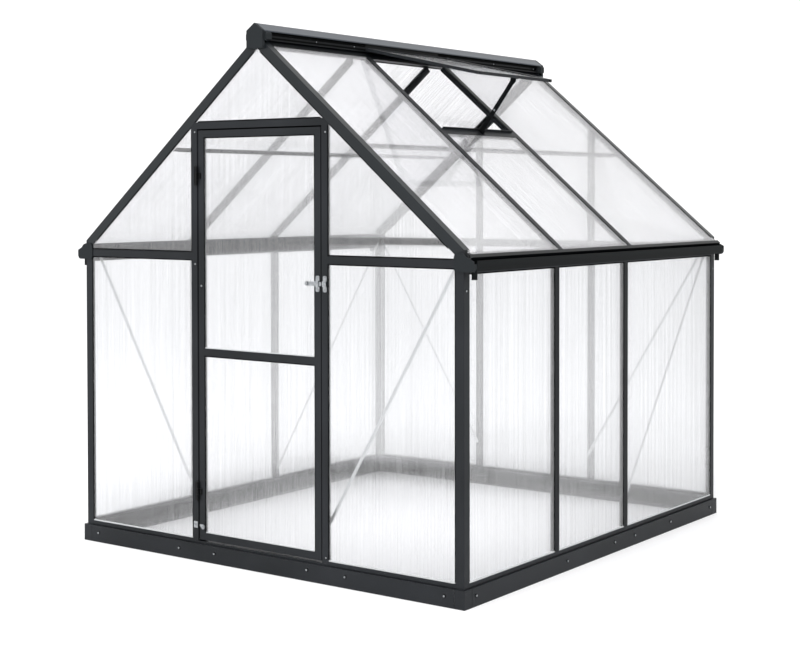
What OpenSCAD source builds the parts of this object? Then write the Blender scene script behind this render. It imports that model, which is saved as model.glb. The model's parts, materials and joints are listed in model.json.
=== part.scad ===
// Walk-in greenhouse with a hinged door, clear twin-wall sheets and a roof vent.
// Millimetres. The origin is the middle of the footprint on the ground,
// +X to the right seen from the door, +Y to the rear, +Z up.

/* [Footprint] */
// Width of the base frame across the gable
base_w = 1850; // [1700:10:2600]
// Depth of the base frame along the ridge
base_d = 1850; // [1700:10:3000]
// Height of the base frame
base_h = 64; // [40:1:120]
// Depth of the base frame's flanges
base_flange = 34; // [20:1:60]
// Length of each arm of the base frame's corner pieces
base_joint_l = 42; // [36:1:80]
// How far the wall faces stand back from the outer face of the base
wall_inset = 9; // [4:1:20]

/* [Walls and roof] */
// Height of the roof's outer plane over the outer face of the side walls
eave_h = 1184; // [1000:10:1700]
// Pitch of both roof slopes in degrees
roof_pitch = 39.5; // [30:0.5:45]
// Front bay of the side walls and roof, from the gable to the first bar
bay_front = 573; // [400:5:700]
// Middle bay of the side walls and roof, from bar to bar
bay_middle = 498; // [400:5:640]
// Half of the distance between the middles of the rear gable's two mullions
rear_mullion_x = 305; // [220:5:420]

/* [Profiles] */
// Wall thickness of every aluminium section
skin = 1.5; // [1:0.1:2.5]
// Depth of rails, bars and mullions from the outside to the inside
bar_depth = 26; // [18:1:34]
// Face width of mullions and roof bars
bar_face = 25; // [20:1:36]
// Width of the bolt channel behind a bar
bar_box = 14; // [11:1:18]
// Mouth of the bolt channel
bolt_mouth = 6; // [4:0.5:7]
// Face width of a corner post on the gable
post_w = 34; // [28:1:50]
// Face width of a corner post on the side wall, and of a rafter on the roof
post_d = 30; // [26:1:44]
// Face width of a rafter on the gable
rafter_w = 36; // [28:1:50]
// Radius of the outer corner of posts and rafters
corner_r = 2; // [0.5:0.5:4]
// How far the sheets' slots reach into a section
grip = 8; // [6:0.5:12]

/* [Sheets] */
// Thickness of the twin-wall sheets
sheet_t = 4; // [3:0.5:8]
// Play of a sheet on each face in its slot
sheet_play = 0.3; // [0.2:0.05:0.6]
// Space between a sheet's edge and the bottom of its slot
edge_gap = 1.5; // [1:0.5:3]

/* [Rails] */
// Height of the sill rails on the base
sill_h = 16; // [12:1:30]
// Height of the threshold under the door
threshold_h = 9; // [6:1:12]
// Top of the gable's eave rails above the ground
eave_rail_z = 1150; // [980:5:1500]
// Height of the gable's eave rails
eave_rail_h = 27; // [24:1:40]
// Height of the header over the door
header_h = 25; // [22:1:40]

/* [Door] */
// Width of the door leaf
door_w = 596; // [480:2:740]
// Gap round the door leaf, and over the threshold
door_gap = 6; // [5.5:0.5:9]
// Face width of the door posts
jamb_w = 27; // [24:1:40]
// Face width of the door's stiles
stile_w = 27; // [24:1:40]
// Height of the door's top rail
top_rail_h = 25; // [22:1:40]
// How far the door stops reach behind the leaf
stop_reach = 7; // [4:0.5:12]
// Height of the door's bottom rail
bottom_rail_h = 27; // [22:1:60]
// Height of the door's middle rail
mid_rail_h = 27; // [24:1:40]
// Middle of the door's middle rail above the ground
mid_rail_z = 780; // [500:5:1100]
// Length of a hinge
hinge_len = 70; // [50:1:100]
// Radius of the hinge barrels
hinge_r = 4.5; // [4:0.5:6]
// Middle of the lower hinge above the bottom of the leaf
hinge_low = 180; // [120:5:300]
// Middle of the upper hinge below the top of the leaf
hinge_high = 168; // [120:5:300]

/* [Latch] */
// Middle of the latch above the ground
latch_z = 1052; // [850:2:1250]
// Width of each latch strap
strap_w = 17; // [14:1:24]
// Height of each latch strap
strap_h = 57; // [48:1:70]
// Thickness of the latch straps
strap_t = 1.6; // [1.2:0.1:2.5]
// Height of the sliding bolt
bolt_h = 15; // [10:1:18]
// Thickness of the sliding bolt
bolt_t = 3.5; // [2.5:0.5:5]
// Throw of the sliding bolt
bolt_throw = 28; // [24:1:34]
// Middle of the wind catch above the ground
catch_z = 133; // [110:1:200]

/* [Eaves and ridge] */
// Width of a gutter from the wall's outer face
gutter_w = 44; // [34:1:70]
// Height of a gutter
gutter_h = 35; // [26:1:50]
// Top of the gutters below the roof plane over the wall
gutter_drop = 35; // [32:1:50]
// Outer radius of the gutter spouts
spout_r = 10; // [7:0.5:12]
// Bore radius of the gutter spouts
spout_bore = 8; // [5:0.5:10]
// Length of the gutter spouts under the gutter
spout_len = 29; // [15:1:60]
// Width of the ridge cover
cover_w = 77; // [60:1:110]
// Height of the ridge cover from its edges to its top
cover_rise = 27; // [18:1:38]
// Top of the ridge cover above the point where the roof planes meet
cover_up = 42; // [36:1:60]
// How far the ridge's end cap stands proud of the gable
cap_reach = 13; // [6:1:25]

// Width of the ridge beam's box under the cover
ridge_box_w = 48; // [36:1:56]
// How far the ridge beam's flanges reach down the slope
ridge_flange = 62; // [54:1:90]
// Width of the drip rail at the roof's lower edge
roof_sill_w = 16; // [12:1:24]
// Leg of the angle purlins
purlin_leg = 20; // [14:1:30]

/* [Braces] */
// Width of the wall braces
brace_w = 12; // [8:1:20]
// Thickness of the wall braces
brace_t = 1.5; // [1:0.1:2.5]

/* [Vent] */
// Distance from the roof's top line to the vent's crossbar, down the slope
vent_reach = 510; // [360:10:560]
// Face width of the vent's crossbar
vent_bar_h = 30; // [24:1:40]
// How far the flap's free edge reaches past the crossbar
flap_over = 45; // [2:1:60]
// Angle of the propped flap below the level
flap_angle = 12; // [8:1:18]
// Height of the lip along the crossbar's upper edge that the closed flap covers
vent_lip_h = 9; // [3:0.5:9]
// Thickness of the flap's frame
flap_t = 12; // [9:1:16]

/* [Hidden] */
$fn = 48;
eps = 0.01;
// Joint line between two pieces of one frame
seam = 0.3;

wall_x = base_w / 2 - wall_inset;
wall_y = base_d / 2 - wall_inset;
apex_z = eave_h + wall_x * tan(roof_pitch);
slot = sheet_t + 2 * sheet_play;
slot_in = skin + slot;
sheet_in = skin + sheet_play;
bar_y = [-wall_y + bay_front, -wall_y + bay_front + bay_middle];
sill_z = base_h + sill_h;

// Door opening
leaf_x = door_w / 2;
jamb_x = leaf_x + door_gap;
jamb_out = jamb_x + jamb_w;
leaf_z = base_h + threshold_h + door_gap;
// The header sits where the rafters' inner edges cross the posts' outer faces
header_z = roof_z(jamb_out, rafter_w) - header_h / 2;
leaf_top = header_z - door_gap + 0.5;
door_h = leaf_top - leaf_z;
leaf_in = 2;
leaf_depth = bar_depth - leaf_in;

// Eaves: the side beam carries the roof bars on its slanted top
eave_beam_out = eave_h - (bar_depth + seam / 2) / cos(roof_pitch);
eave_beam_in = eave_beam_out + bar_depth * tan(roof_pitch);
gutter_top = eave_h - gutter_drop;
gutter_bottom = gutter_top - gutter_h;
beam_grip_z = gutter_bottom - grip;

// Roof, measured down the slope from the line where the roof planes meet
roof_end = (wall_x + bar_depth * sin(roof_pitch)) / cos(roof_pitch) + 1;
purlin_s = wall_x / cos(roof_pitch) / 2;
drip_low = apex_z - (roof_end + roof_sill_w) * sin(roof_pitch) - bar_depth * cos(roof_pitch);

// Base frame: sheet thickness, and the joint between a rail and a corner piece
base_t = 1.5;
base_seam = 1.2;

// ---- places ----

// 2D (height, outwards) swept along the front wall from x0 to x1
module along_front(x0, x1) {
    translate([x0, -wall_y, 0])
        rotate([180, -90, 0])
            linear_extrude(x1 - x0)
                children();
}

// 2D (height, outwards) swept along the right wall from y0 to y1
module along_side(y0, y1) {
    translate([wall_x, y0, 0])
        rotate([0, -90, -90])
            linear_extrude(y1 - y0)
                children();
}

// The right slope's own frame: x down the slope, y to the rear, z outwards
module on_slope() {
    translate([0, 0, apex_z])
        rotate([0, roof_pitch, 0])
            children();
}

// 2D (to the rear, outwards) swept down the right slope from s0 to s1
module down_slope(s0, s1) {
    on_slope()
        translate([s0, 0, 0])
            rotate([90, 0, 90])
                linear_extrude(s1 - s0)
                    children();
}

// 2D (down the slope, outwards) swept along the right slope from y0 to y1
module across_slope(y0, y1) {
    on_slope()
        translate([0, y1, 0])
            rotate([90, 0, 0])
                linear_extrude(y1 - y0)
                    children();
}

module both_sides() {
    children();
    mirror([1, 0, 0])
        children();
}

module both_ends() {
    children();
    mirror([0, 1, 0])
        children();
}

// Height of a line parallel to the right slope, in = distance inside the roof plane
function roof_z(x, in = 0) = apex_z - x * tan(roof_pitch) - in / cos(roof_pitch);
function roof_x(z, in = 0) = (apex_z - z - in / cos(roof_pitch)) / tan(roof_pitch);

// ---- sections, outer face on y = 0 and the body below it ----

// Glazing bar: a slot on both sides and a bolt channel behind
module bar_section(face) {
    translate([-face / 2, -skin])
        square([face, skin]);
    translate([-skin / 2 - 0.5, -slot_in - skin])
        square([skin + 1, slot_in + skin]);
    translate([-face / 2, -slot_in - skin])
        square([face, skin]);
    difference() {
        translate([-bar_box / 2, -bar_depth])
            square([bar_box, bar_depth - slot_in]);
        translate([-bar_box / 2 + skin, -bar_depth + skin])
            square([bar_box - 2 * skin, bar_depth - slot_in - 2 * skin]);
        translate([-bolt_mouth / 2, -bar_depth - 1])
            square([bolt_mouth, skin + 2]);
    }
}

// Edge channel: a hollow box from x = 0 and one slot that opens at x = face
module edge_section(face, depth) {
    box = face - grip;
    difference() {
        translate([0, -depth])
            square([box, depth]);
        translate([skin, -depth + skin])
            square([box - 2 * skin, depth - 2 * skin]);
    }
    for (y = [-skin, -slot_in - skin])
        translate([box - skin, y])
            square([grip + skin, skin]);
}

// Corner section: outer faces on both axes, a slot at the end of each leg
module corner_section(wide, deep) {
    box_w = wide - grip;
    box_d = deep - grip;
    difference() {
        square([box_w, box_d]);
        translate([skin, skin])
            square([box_w - 2 * skin, box_d - 2 * skin]);
        difference() {
            translate([-1, -1])
                square(corner_r + 1);
            translate([corner_r, corner_r])
                circle(corner_r);
        }
    }
    for (y = [0, slot_in])
        translate([box_w - skin, y])
            square([grip + skin, skin]);
    for (x = [0, slot_in])
        translate([x, box_d - skin])
            square([skin, grip + skin]);
}

// ---- base frame ----

// Channel of the base: face on y = 0, flanges at the ground and at the top
module base_section() {
    translate([0, -base_t])
        square([base_h, base_t]);
    translate([0, -base_flange])
        square([base_t, base_flange]);
    translate([base_h - base_t, -base_flange])
        square([base_t, base_flange]);
}

module base_rails() {
    half_x = base_w / 2 - base_joint_l - base_seam;
    half_y = base_d / 2 - base_joint_l - base_seam;
    color("#3a3e40") {
        both_ends()
            translate([0, -wall_inset, 0])
                along_front(-half_x, half_x)
                    base_section();
        both_sides()
            translate([wall_inset, 0, 0])
                along_side(-half_y, half_y)
                    base_section();
    }
}

// Folded corner of the base, seen from above as an L
module base_corner_plan(thick) {
    difference() {
        square(base_joint_l);
        translate([thick, thick])
            square(base_joint_l);
    }
}

module base_corner() {
    linear_extrude(base_h)
        base_corner_plan(base_t);
    for (z = [0, base_h - base_t])
        translate([0, 0, z])
            linear_extrude(base_t)
                base_corner_plan(base_flange);
}

module base_corners() {
    color("#3a3e40")
        both_sides()
            both_ends()
                translate([-base_w / 2, -base_d / 2, 0])
                    base_corner();
}

// ---- wall frame ----

// Everything above the mitre between a corner post and its rafter
module above_mitre() {
    inner_z = roof_z(wall_x - post_w, rafter_w);
    slope = (eave_h - inner_z) / post_w;
    reach = 3 * post_w;
    rotate([90, 0, 0])
        linear_extrude(2 * base_d, center = true)
            polygon([
                [wall_x + reach, eave_h + reach * slope],
                [wall_x - 2 * reach, eave_h - 2 * reach * slope],
                [wall_x - 2 * reach, eave_h + 400],
                [wall_x + reach, eave_h + 400]
            ]);
}

module corner_post() {
    difference() {
        translate([wall_x, -wall_y, base_h])
            rotate([0, 0, 90])
                linear_extrude(eave_h)
                    corner_section(post_d, post_w);
        above_mitre();
        // The side flange stops under the roof sheets
        intersection() {
            on_slope()
                translate([0, -base_d, -bar_depth])
                    cube([3 * base_w, 2 * base_d, base_d]);
            translate([0, -wall_y + post_d - grip, 0])
                cube([base_w, base_d, 2 * apex_z]);
        }
    }
}

module corner_posts() {
    color("#44484a")
        both_sides()
            both_ends()
                corner_post();
}

// Sill rail in (height, outwards), slot upwards, on a foot that leaves a shadow line
sill_foot = 2.5;

module sill_section() {
    translate([base_h + sill_foot, 0])
        edge_section(sill_h - sill_foot, bar_depth);
    translate([base_h, -bar_depth])
        square([sill_foot + skin, bar_depth - 3]);
}

module front_sills() {
    color("#44484a")
        both_sides()
            along_front(jamb_out, wall_x - post_w)
                sill_section();
}

module rear_sill() {
    color("#44484a")
        mirror([0, 1, 0])
            along_front(-wall_x + post_w, wall_x - post_w)
                sill_section();
}

module side_sills() {
    color("#44484a")
        both_sides()
            along_side(-wall_y + post_d, wall_y - post_d)
                sill_section();
}

module door_threshold() {
    color("#44484a")
        along_front(-jamb_x, jamb_x)
            difference() {
                translate([base_h, -bar_depth])
                    square([threshold_h, bar_depth]);
                translate([base_h - 1, -bar_depth + skin])
                    square([threshold_h - skin + 1, bar_depth - 2 * skin]);
            }
}

// Lip behind the leaf, on the side of a post or header that faces the opening
stop_gap = 5.5;

module stop_section() {
    translate([0, -bar_depth - stop_gap - skin])
        square([skin, stop_gap + 2 * skin]);
    translate([-door_gap - stop_reach, -bar_depth - stop_gap - skin])
        square([door_gap + stop_reach + skin, skin]);
}

module door_post() {
    translate([jamb_x, -wall_y, base_h])
        mirror([0, 1, 0])
            linear_extrude(header_z - base_h) {
                edge_section(jamb_w, bar_depth);
                stop_section();
            }
}

module door_posts() {
    color("#44484a")
        both_sides()
            door_post();
}

// Region of a gable between the inner edges of its two rafters
module between_rafters(in = rafter_w) {
    rotate([90, 0, 0])
        linear_extrude(3 * base_d, center = true)
            polygon([
                [-roof_x(0, in), 0],
                [roof_x(0, in), 0],
                [0, roof_z(0, in)]
            ]);
}

module door_header() {
    stop_x = jamb_x - door_gap - stop_reach - seam;
    color("#44484a") {
        intersection() {
            along_front(-wall_x, wall_x)
                translate([header_z, 0])
                    edge_section(header_h, bar_depth);
            between_rafters(rafter_w + seam);
        }
        along_front(-stop_x, stop_x)
            translate([header_z, 0])
                stop_section();
    }
}

module eave_rail_section() {
    translate([eave_rail_z - eave_rail_h / 2, 0])
        bar_section(eave_rail_h);
}

module front_eave_rails() {
    color("#44484a")
        both_sides()
            along_front(jamb_out, wall_x - post_w)
                eave_rail_section();
}

module rear_eave_rails() {
    mullion_edge = rear_mullion_x + bar_face / 2;
    color("#44484a")
        mirror([0, 1, 0]) {
            both_sides()
                along_front(mullion_edge, wall_x - post_w)
                    eave_rail_section();
            along_front(-rear_mullion_x + bar_face / 2, rear_mullion_x - bar_face / 2)
                eave_rail_section();
        }
}

module rear_mullions() {
    color("#44484a")
        intersection() {
            both_sides()
                translate([rear_mullion_x, wall_y, sill_z])
                    linear_extrude(apex_z - sill_z)
                        bar_section(bar_face);
            between_rafters(rafter_w + seam / 2);
        }
}

module side_mullions() {
    color("#44484a")
        both_sides()
            for (y = bar_y)
                translate([wall_x, y, sill_z])
                    rotate([0, 0, -90])
                        linear_extrude(beam_grip_z - sill_z)
                            bar_section(bar_face);
}

// ---- eaves ----

// Hollow beam over the side wall: slanted top, slot for the wall sheets below
module eave_beam_section() {
    difference() {
        polygon([
            [gutter_bottom, 0],
            [eave_beam_out, 0],
            [eave_beam_in, -bar_depth],
            [gutter_bottom, -bar_depth]
        ]);
        polygon([
            [gutter_bottom + skin, -skin],
            [eave_beam_out - 2 * skin, -skin],
            [eave_beam_in - 3 * skin, -bar_depth + skin],
            [gutter_bottom + skin, -bar_depth + skin]
        ]);
    }
    for (y = [-skin, -slot_in - skin])
        translate([beam_grip_z, y])
            square([grip + skin, skin]);
}

module eave_beams() {
    color("#44484a")
        both_sides()
            along_side(-wall_y + post_d, wall_y - post_d)
                eave_beam_section();
}

// Gutter: back on the beam, stepped front with a rolled lip
gutter_wall = 1.5;
gutter_step = 2;
gutter_lip = 5;

module gutter_section() {
    step_z = gutter_bottom + gutter_h * 0.4;
    translate([gutter_bottom, 0])
        square([gutter_h - 8, gutter_wall]);
    translate([gutter_bottom, 0])
        square([gutter_wall, gutter_w - gutter_step]);
    translate([gutter_bottom, gutter_w - gutter_step - gutter_wall])
        square([step_z - gutter_bottom + gutter_wall, gutter_wall]);
    translate([step_z, gutter_w - gutter_step - gutter_wall])
        square([gutter_wall, gutter_step + gutter_wall]);
    translate([step_z, gutter_w - gutter_wall])
        square([gutter_top - step_z, gutter_wall]);
    translate([gutter_top - gutter_wall, gutter_w - gutter_lip])
        square([gutter_wall, gutter_lip]);
}

joint_t = 4;
joint_socket = 14;
gutter_end = wall_y - joint_socket;
spout_y = wall_y - 26;
spout_x = wall_x + gutter_w * 0.56;

module gutter() {
    difference() {
        union() {
            along_side(-gutter_end, gutter_end)
                gutter_section();
            for (y = [-spout_y, spout_y])
                translate([spout_x, y, gutter_bottom - spout_len])
                    cylinder(h = spout_len + gutter_wall, r = spout_r);
        }
        for (y = [-spout_y, spout_y])
            translate([spout_x, y, gutter_bottom - spout_len - 1])
                cylinder(h = spout_len + gutter_wall + 2, r = spout_bore);
    }
}

module gutter_right() {
    color("#303436")
        gutter();
}

module gutter_left() {
    color("#303436")
        mirror([1, 0, 0])
            gutter();
}

// Moulded joint over post, rafter and gutter end, outline on the gable face
module joint_outline() {
    low = gutter_bottom - 3;
    top = eave_h - 9;
    left = wall_x - post_w - 4;
    right = wall_x + gutter_w - 1;
    polygon([
        [left + 5, low],
        [right - 12, low],
        [right - 4, low + 4],
        [right, low + 13],
        [right, gutter_top - 3],
        [wall_x + 12, gutter_top + 12],
        [wall_x - 2, top - 2],
        [wall_x - post_w + 4, top],
        [left, top - 14],
        [left, low + 8]
    ]);
}

module eave_joint() {
    translate([0, -wall_y, 0])
        rotate([90, 0, 0])
            linear_extrude(joint_t)
                joint_outline();
    // Plug that closes the end of the gutter
    translate([0, -gutter_end, 0])
        rotate([90, 0, 0])
            linear_extrude(joint_socket + eps)
                intersection() {
                    joint_outline();
                    translate([wall_x + eps, gutter_bottom - 3])
                        square([gutter_w, drip_low - 1.5 - gutter_bottom + 3]);
                }
}

module eave_joints() {
    color("#2c3032")
        both_sides()
            both_ends()
                eave_joint();
}

// ---- roof frame ----

module rafter() {
    difference() {
        intersection() {
            down_slope(-rafter_w, roof_end + 2 * rafter_w)
                translate([-wall_y, 0])
                    mirror([0, 1])
                        corner_section(post_d, rafter_w);
            above_mitre_and_past_eave();
        }
        // Mitre at the ridge
        translate([-base_w, -base_d, 0])
            cube([base_w + seam / 2, 2 * base_d, 2 * apex_z]);
    }
}

// Keeps the rafter above its mitre on the post and ends it flush with the wall
module above_mitre_and_past_eave() {
    intersection() {
        union() {
            above_mitre();
            translate([-wall_x, -base_d, eave_h])
                cube([2 * wall_x - 2 * post_w, 2 * base_d, apex_z]);
        }
        translate([-wall_x, -base_d, 0])
            cube([2 * wall_x, 2 * base_d, 2 * apex_z]);
    }
}

module rafters() {
    color("#44484a")
        both_sides()
            both_ends()
                rafter();
}

// Ridge beam: a hollow box, two slanted flanges on each side for the sheets, and a
// lipped shelf on each side under the cover that the vent's hinge lies in
ridge_top = apex_z + cover_up;
cover_t = 2;
cover_slope = atan(cover_rise / (cover_w / 2));
cover_under = ridge_top - cover_t / cos(cover_slope) - seam;
ridge_bottom = roof_z(0, rafter_w) + 4;
rib_r = 3.7;
shelf_z = roof_z(ridge_box_w / 2) + 1.8;
shelf_w = ridge_box_w / 2 + 2 * (rib_r + seam) + 3.5;
shelf_lip = 3;
shelf_t = 2;

module ridge_side() {
    half = ridge_box_w / 2;
    top_w = cover_w / 2 - cover_t - 2;
    translate([0, apex_z])
        rotate(-roof_pitch)
            for (n = [-skin, -slot_in - skin])
                translate([half, n])
                    square([ridge_flange - half, skin]);
    translate([half - skin, shelf_z - shelf_t])
        square([shelf_w - half + skin, shelf_t]);
    translate([shelf_w - shelf_t, shelf_z - shelf_t])
        square([shelf_t, shelf_t + shelf_lip]);
    // Plate that carries the cover
    polygon([
        [0, cover_under],
        [top_w, cover_under - top_w * tan(cover_slope)],
        [top_w, cover_under - top_w * tan(cover_slope) - skin],
        [0, cover_under - 2 * skin]
    ]);
}

// House-shaped outline of the beam's box, in = distance inside its walls
module ridge_house(in, down) {
    half = ridge_box_w / 2 - in;
    peak = cover_under - down;
    polygon([
        [-half, ridge_bottom + in],
        [half, ridge_bottom + in],
        [half, peak - half * tan(cover_slope)],
        [0, peak],
        [-half, peak - half * tan(cover_slope)]
    ]);
}

module ridge_beam() {
    color("#303436")
        translate([0, wall_y - post_d, 0])
            rotate([90, 0, 0])
                linear_extrude(2 * (wall_y - post_d)) {
                    difference() {
                        ridge_house(0, 0.5);
                        ridge_house(skin, 2 * skin);
                    }
                    ridge_side();
                    mirror([1, 0])
                        ridge_side();
                }
}

// Ridge cover: a folded cap with a turned-down edge
cover_edge = 4;

module ridge_cover() {
    half = cover_w / 2;
    edge_z = ridge_top - cover_rise;
    drop = cover_t / cos(cover_slope);
    color("#6b747c")
        translate([0, wall_y, 0])
            rotate([90, 0, 0])
                linear_extrude(2 * wall_y)
                    polygon([
                        [-half, edge_z - cover_edge],
                        [-half, edge_z],
                        [0, ridge_top],
                        [half, edge_z],
                        [half, edge_z - cover_edge],
                        [half - cover_t, edge_z - cover_edge],
                        [half - cover_t, edge_z - drop + cover_t * tan(cover_slope)],
                        [0, ridge_top - drop],
                        [-half + cover_t, edge_z - drop + cover_t * tan(cover_slope)],
                        [-half + cover_t, edge_z - cover_edge]
                    ]);
}

// End cap: a pentagonal tray over the rafters' mitre
cap_skin = 2.5;
cap_bottom = roof_z(0, rafter_w) - 3;

module cap_outline(in) {
    half = cover_w / 2 - in;
    polygon([
        [-half, cap_bottom + in],
        [half, cap_bottom + in],
        [half, ridge_top - cover_rise],
        [0, ridge_top - in / cos(cover_slope)],
        [-half, ridge_top - cover_rise]
    ]);
}

module ridge_end_cap() {
    difference() {
        translate([0, -wall_y, 0])
            rotate([90, 0, 0])
                linear_extrude(cap_reach)
                    cap_outline(0);
        translate([0, -wall_y + 1, 0])
            rotate([90, 0, 0])
                linear_extrude(cap_reach - cap_skin + 1)
                    cap_outline(cap_skin);
    }
    both_sides()
        ridge_plug();
}

// Plug of the end cap in the open side under the cover
plug_l = 25;
plug_out = 12;

module ridge_plug() {
    half = ridge_box_w / 2 + seam;
    edge = cover_w / 2 + plug_out;
    low = roof_z(half) + seam;
    top = ridge_top - cover_rise - cover_edge - 2;
    translate([0, -wall_y + plug_l, 0])
        rotate([90, 0, 0])
            linear_extrude(plug_l + cap_skin)
                polygon([
                    [half, low],
                    [edge - 8, low - 2],
                    [edge, low + 2],
                    [edge, top - 6],
                    [edge - 4, top],
                    [half, top]
                ]);
}

module ridge_end_caps() {
    color("#2c3032")
        both_ends()
            ridge_end_cap();
}

module roof_bars() {
    color("#44484a")
        both_sides()
            for (y = bar_y)
                down_slope(ridge_flange, roof_end)
                    translate([y, 0])
                        bar_section(bar_face);
}

// Drip rail over the lower ends of the roof bars
module roof_sill_section() {
    translate([roof_end, -bar_depth])
        difference() {
            square([roof_sill_w, bar_depth]);
            translate([-1, skin])
                square([roof_sill_w - skin + 1, bar_depth - 2 * skin]);
        }
}

module roof_sills() {
    color("#5c646a")
        both_sides()
            across_slope(-wall_y + joint_t, wall_y - joint_t)
                roof_sill_section();
}

module roof_purlins() {
    color("#44484a")
        both_sides()
            across_slope(-wall_y + post_d, wall_y - post_d)
                translate([purlin_s, -bar_depth - purlin_leg]) {
                    square([skin, purlin_leg]);
                    translate([0, purlin_leg - skin])
                        square([purlin_leg, skin]);
                }
}

// ---- sheets ----

// Sheet on the front wall, drawn in (x, z)
module front_sheet() {
    translate([0, -wall_y + sheet_in + sheet_t, 0])
        rotate([90, 0, 0])
            linear_extrude(sheet_t)
                children();
}

// Sheet on the right wall, from y0 to y1 and z0 to z1
module side_sheet(y0, y1, z0, z1) {
    translate([wall_x - sheet_in - sheet_t, y0, z0])
        cube([sheet_t, y1 - y0, z1 - z0]);
}

reach_in = grip - edge_gap;
bar_edge = skin / 2 + 0.5 + edge_gap;
post_edge_y = wall_y - post_d + reach_in;
post_edge_x = wall_x - post_w + reach_in;

module side_sheets() {
    low = sill_z - reach_in;
    high = beam_grip_z + reach_in;
    starts = [-post_edge_y, bar_y[0] + bar_edge, bar_y[1] + bar_edge];
    ends = [bar_y[0] - bar_edge, bar_y[1] - bar_edge, post_edge_y];
    color("#dfe6ea", 0.35)
        both_sides()
            for (i = [0 : 2])
                side_sheet(starts[i], ends[i], low, high);
}

rail_low = eave_rail_z - eave_rail_h / 2 - bar_edge;
rail_high = eave_rail_z - eave_rail_h / 2 + bar_edge;
rafter_in = rafter_w - reach_in;

// Outline of the upper gable sheet from x0 to the corner post, no higher than top
module upper_outline(x0, top) {
    polygon([
        [x0, rail_high],
        [post_edge_x, rail_high],
        [post_edge_x, roof_z(post_edge_x, rafter_in)],
        [max(x0, roof_x(top, rafter_in)), min(top, roof_z(x0, rafter_in))],
        [x0, min(top, roof_z(x0, rafter_in))]
    ]);
}

module front_sheets() {
    jamb_edge = jamb_out - reach_in;
    top_low = header_z + header_h - reach_in;
    color("#dfe6ea", 0.35) {
        both_sides()
            front_sheet() {
                translate([jamb_edge, sill_z - reach_in])
                    square([post_edge_x - jamb_edge, rail_low - sill_z + reach_in]);
                upper_outline(jamb_edge, header_z - seam);
            }
        front_sheet()
            polygon([
                [-roof_x(top_low, rafter_in), top_low],
                [roof_x(top_low, rafter_in), top_low],
                [0, roof_z(0, rafter_in)]
            ]);
    }
}

module rear_sheets() {
    outer = rear_mullion_x + bar_edge;
    inner = rear_mullion_x - bar_edge;
    color("#dfe6ea", 0.35)
        mirror([0, 1, 0]) {
            both_sides()
                front_sheet() {
                    translate([outer, sill_z - reach_in])
                        square([post_edge_x - outer, rail_low - sill_z + reach_in]);
                    upper_outline(outer, apex_z);
                }
            front_sheet() {
                translate([-inner, sill_z - reach_in])
                    square([2 * inner, rail_low - sill_z + reach_in]);
                polygon([
                    [-inner, rail_high],
                    [inner, rail_high],
                    [inner, roof_z(inner, rafter_in)],
                    [0, roof_z(0, rafter_in)],
                    [-inner, roof_z(inner, rafter_in)]
                ]);
            }
        }
}

// Roof sheet from y0 to y1 and from s0 down the slope to the drip rail
module roof_sheet(y0, y1, s0) {
    s1 = roof_end + roof_sill_w - skin - edge_gap;
    on_slope()
        translate([s0, y0, -sheet_in - sheet_t])
            cube([s1 - s0, y1 - y0, sheet_t]);
}

roof_sheet_top = ridge_flange - 10;

module slope_sheets(middle_top) {
    roof_sheet(-post_edge_y, bar_y[0] - bar_edge, roof_sheet_top);
    roof_sheet(bar_y[0] + bar_edge, bar_y[1] - bar_edge, middle_top);
    roof_sheet(bar_y[1] + bar_edge, post_edge_y, roof_sheet_top);
}

module roof_sheets() {
    color("#dfe6ea", 0.35) {
        mirror([1, 0, 0])
            slope_sheets(roof_sheet_top);
        slope_sheets(vent_reach + vent_bar_h - reach_in);
    }
}

// ---- roof vent ----

vent_mid = (bar_y[0] + bar_y[1]) / 2;
flap_half = bay_middle / 2 + 8;
flap_bar_w = 20;
rib_x = ridge_box_w / 2 + rib_r + seam;
rib_z = shelf_z + rib_r + seam;
hinge_neck = (shelf_w + 6 - rib_x) / cos(flap_angle);
hinge_s = rib_x * cos(roof_pitch) + (apex_z - rib_z) * sin(roof_pitch);
flap_l = vent_reach + vent_bar_h + flap_over - hinge_s - hinge_neck;

// The propped flap's own frame: x out from its hinge, z up from its underside
module on_flap() {
    translate([rib_x, vent_mid, rib_z])
        rotate([0, flap_angle, 0])
            children();
}

module vent_crossbar() {
    color("#303436")
        across_slope(bar_y[0] + bar_face / 2, bar_y[1] - bar_face / 2)
            translate([vent_reach, 0]) {
                edge_section(vent_bar_h, bar_depth);
                translate([0, -skin])
                    square([skin, vent_lip_h + skin]);
            }
}

module flap_bar_section() {
    difference() {
        square([flap_bar_w, flap_t]);
        translate([flap_bar_w - grip, (flap_t - slot) / 2])
            square([grip + 1, slot]);
    }
}

flap_end = hinge_neck + flap_l;
flap_inner = flap_half - flap_bar_w - seam;

module vent_frame() {
    color("#303436")
        on_flap() {
            // Side bars
            for (side = [-1, 1])
                translate([hinge_neck, side * flap_half, 0])
                    mirror([0, side > 0 ? 1 : 0, 0])
                        rotate([90, 0, 90])
                            linear_extrude(flap_l)
                                flap_bar_section();
            // Free edge
            translate([flap_end, flap_inner, 0])
                mirror([1, 0, 0])
                    rotate([90, 0, 0])
                        linear_extrude(2 * flap_inner)
                            flap_bar_section();
            // Hinge bar with its rib in the ridge's shelf
            translate([0, flap_inner, 0])
                rotate([90, 0, 0])
                    linear_extrude(2 * flap_inner) {
                        translate([hinge_neck, 0])
                            flap_bar_section();
                        translate([0, 2])
                            square([hinge_neck + 1, 2]);
                        circle(rib_r);
                    }
        }
}

module vent_sheet() {
    inset = flap_bar_w - reach_in;
    color("#dfe6ea", 0.35)
        on_flap()
            translate([hinge_neck + inset, -flap_half + inset, (flap_t - sheet_t) / 2])
                cube([flap_l - 2 * inset, 2 * (flap_half - inset), sheet_t]);
}

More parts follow.
